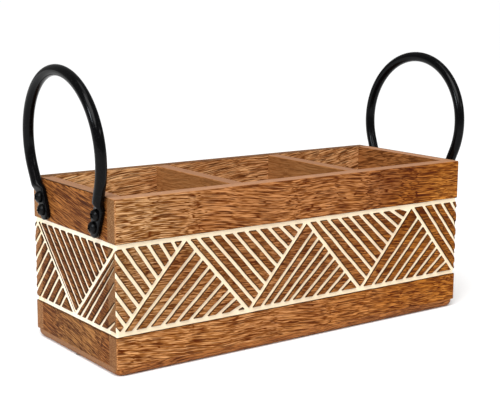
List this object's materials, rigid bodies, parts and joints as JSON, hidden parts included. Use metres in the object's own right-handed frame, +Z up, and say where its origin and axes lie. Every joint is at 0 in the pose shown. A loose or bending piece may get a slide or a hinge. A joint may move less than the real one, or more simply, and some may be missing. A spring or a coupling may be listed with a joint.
{
  "type": "cutlery caddy",
  "caption": "Open wooden cutlery caddy with divided compartments, a carved cream-painted zigzag band and black rod handles screwed to its ends.",
  "frame": {"origin": "on the floor under the middle of the box", "axes": "+X along the box to the right end, +Y to the back, +Z up"},
  "size_m": [0.329, 0.1164, 0.1976],
  "materials": {
    "carved_wood": "oiled, carved band painted cream",
    "plain_wood": "oiled",
    "black_iron": "satin black powder coat",
    "black_screw": "black",
    "dowel_wood": "raw",
    "plated_steel": "zinc plated"
  },
  "bodies": {
    "root": {"front_panel": "carved_wood", "back_panel": "carved_wood", "left_end_panel": "carved_wood", "right_end_panel": "carved_wood", "base_board": "plain_wood", "left_divider": "plain_wood", "right_divider": "plain_wood", "left_handle": "black_iron", "right_handle": "black_iron", "left_handle_screws": "black_screw", "right_handle_screws": "black_screw", "front_corner_dowels": "dowel_wood", "back_corner_dowels": "dowel_wood", "left_divider_front_dowels": "dowel_wood", "left_divider_back_dowels": "dowel_wood", "right_divider_front_dowels": "dowel_wood", "right_divider_back_dowels": "dowel_wood", "base_screws": "plated_steel"}
  },
  "joints": []
}
